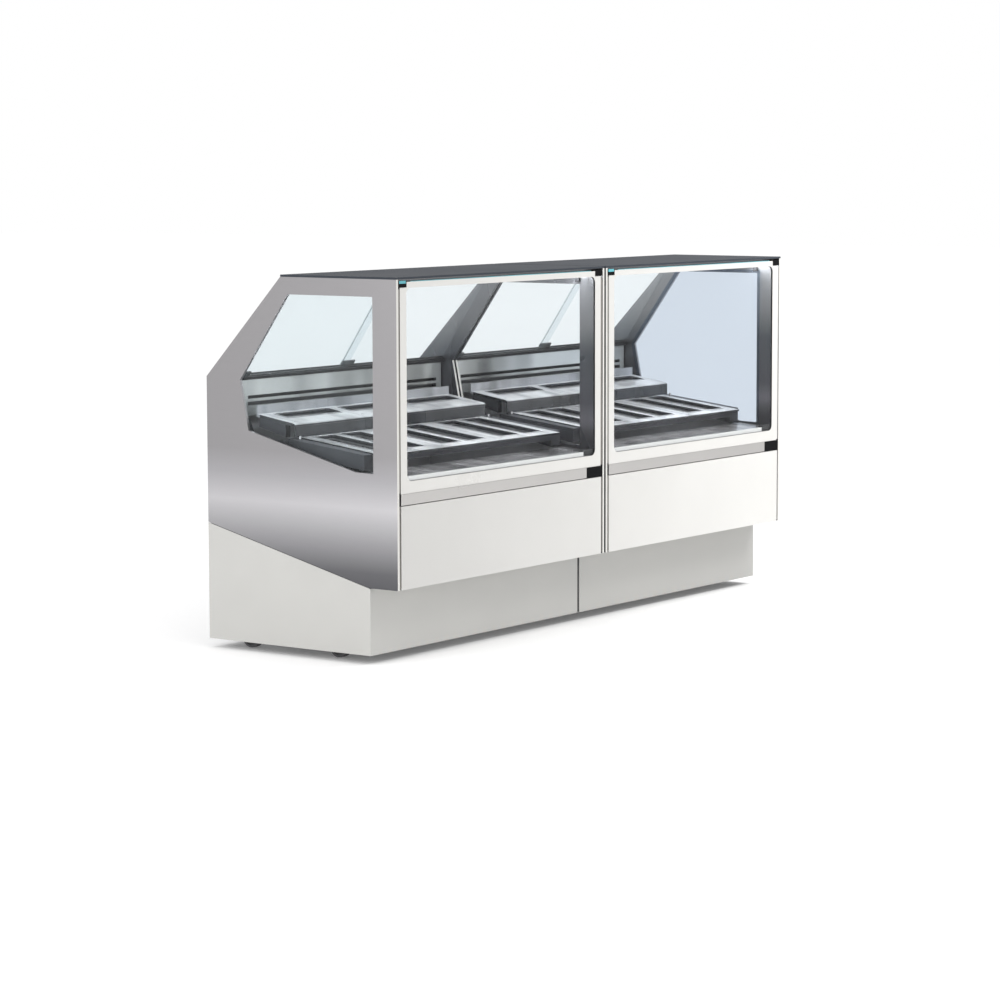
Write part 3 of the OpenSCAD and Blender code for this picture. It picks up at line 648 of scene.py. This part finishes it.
def corner_pieces(m, right):
    """The sill's black end block at the latch side, and the glass edge over the left hinge cap."""
    block(f"sill_corner_{m}", (right - 115 * MM, right - 35 * MM), SILL_CORNER_Y, SILL_CORNER_Z,
          mat["black_rubber"], "body", 3.0)
    glass_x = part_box(f"front_glass_{m}")[0][0]
    block(f"cap_edge_{m}", (glass_x - 5 * MM, glass_x + 30 * MM), CAP_EDGE_Y, CAP_EDGE_Z, edge_teal,
          f"glass_door_{m}")


def pan_lips(m, left):
    """Folded lips round the module's six lower and three upper pan openings."""
    lower = [lip_ring(left + (a + 1) * MM, left + (b - 1) * MM, *LOWER_Y, lower_height, 16 * MM)
             for a, b in LOWER_X]
    joined(f"lower_lips_{m}", lower, lip_steel, "body", True)
    upper = [lip_ring(left + (a + 1) * MM, left + (b - 1) * MM, *UPPER_Y, upper_height, 18 * MM)
             for a, b in UPPER_X]
    joined(f"upper_lips_{m}", upper, lip_steel, "body", True)


def door_edge(m):
    """Grey trim on the outer door's meeting edge."""
    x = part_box(f"door_{m}b")[0][0]
    height, faces = (17, 396), (-5.4, -4.9)
    door_block(f"door_edge_{m}b", (x - 0.4 * MM, x + 3.0 * MM), height, faces, edge_grey,
               f"sliding_door_{m}b")


def rear_pieces(m, left):
    """Screws on the rear covers and grilles, and a rib along the top of each louvre slot."""
    first, pitch = 40, 279
    rows = (cover_low[2] + 15 * MM, cover_high[2] - 15 * MM,
            grille_high[2] - 14 * MM, grille_low[2] + 12 * MM)
    heads = [screw_head(left + (first + pitch * k) * MM, BACK, z) for k in range(5) for z in rows]
    joined(f"rear_screws_{m}", heads, screw_steel, "body")
    ribs = []
    for column in range(4):
        for row in range(8):
            x = left + (100 + 270 * column) * MM
            z = (64 + 26 * row) * MM
            ribs.append(box_part((x - 2 * MM, x + 182 * MM), (BACK, BACK + 3 * MM),
                                 (z + 10 * MM, z + 13 * MM)))
    joined(f"louvre_lips_{m}", ribs, mat["rear_steel"], "body")


def display(m, left):
    """Two digits as plain bars on the control module's display."""
    depth, middle, half = (0.3985, 0.3991), 0.360, 0.7 * MM
    bars = []
    for digit in range(2):
        x = left + (127 + 16 * digit) * MM
        for dz in (-8, 0, 8):
            z = middle + dz * MM
            bars.append(box_part((x, x + 9 * MM), depth, (z - half, z + half)))
        for dx in (-0.7, 9.7):
            at = x + dx * MM
            bars.append(box_part((at - half, at + half), depth, (middle - 7 * MM, middle + 7 * MM)))
    joined(f"display_bars_{m}", bars, display_glow, "body")


for m in MODULES:
    glass_low, glass_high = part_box(f"front_glass_{m}")
    left, right = glass_low[0] - 20 * MM, glass_high[0] + 20 * MM
    lamp_pieces(m, left, right)
    fillers(m, left, right)
    corner_pieces(m, right)
    pan_lips(m, left)
    door_edge(m)
    rear_pieces(m, left)
    display(m, left)

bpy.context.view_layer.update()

# ---------------------------------------------------------------- stage, light, camera

scene = bpy.context.scene

REACH = 40.0
floor_mesh = bpy.data.meshes.new("floor")
floor_mesh.from_pydata([(-REACH, -REACH, 0), (REACH, -REACH, 0), (REACH, REACH, 0), (-REACH, REACH, 0)], [],
                       [(0, 1, 2, 3)])
floor = bpy.data.objects.new("floor", floor_mesh)
floor_look = surface("studio floor", (0.93, 0.93, 0.93), 0.9, grain=(1, 1, 1), spread=0.005,
                     rough_spread=0.02, bump=0.0, gloss=0.0)
floor_shader = floor_look.node_tree.nodes["Principled BSDF"]
floor_shader.inputs["Emission Color"].default_value = (*WHITE, 1)
floor_shader.inputs["Emission Strength"].default_value = 0.1
floor.data.materials.append(floor_look)
scene.collection.objects.link(floor)

scene.view_settings.view_transform = "Standard"
world = bpy.data.worlds.new("studio")
world.use_nodes = True
world.node_tree.nodes["Background"].inputs["Color"].default_value = (*WHITE, 1)
world.node_tree.nodes["Background"].inputs["Strength"].default_value = 1.0
scene.world = world


def area_light(name, position, target, size, power):
    data = bpy.data.lights.new(name, "AREA")
    data.shape = "RECTANGLE"
    data.size, data.size_y = size
    data.energy = power
    obj = bpy.data.objects.new(name, data)
    obj.location = position
    obj.rotation_euler = (Vector(target) - Vector(position)).to_track_quat("-Z", "Y").to_euler()
    scene.collection.objects.link(obj)


area_light("left", (-4.5, 0.2, 1.6), (-1.2, 0.0, 0.5), (2.0, 2.0), 39)
area_light("right", (1.9, -2.0, 2.5), (1.0, -0.4, 0.45), (1.2, 0.8), 45)

YAW, PITCH, ROLL = math.radians(54.41), math.radians(6.255), math.radians(0.135)
camera_data = bpy.data.cameras.new("camera")
camera_data.sensor_width = 36.0
camera_data.lens = 114.4
camera = bpy.data.objects.new("camera", camera_data)
camera.location = (-9.254, -6.569, 1.658)
forward = Vector((math.sin(YAW) * math.cos(PITCH), math.cos(YAW) * math.cos(PITCH), -math.sin(PITCH)))
aim = forward.to_track_quat("-Z", "Y").to_matrix().to_4x4()
camera.rotation_euler = (aim @ Euler((0, 0, -ROLL)).to_matrix().to_4x4()).to_euler()
scene.collection.objects.link(camera)
scene.camera = camera
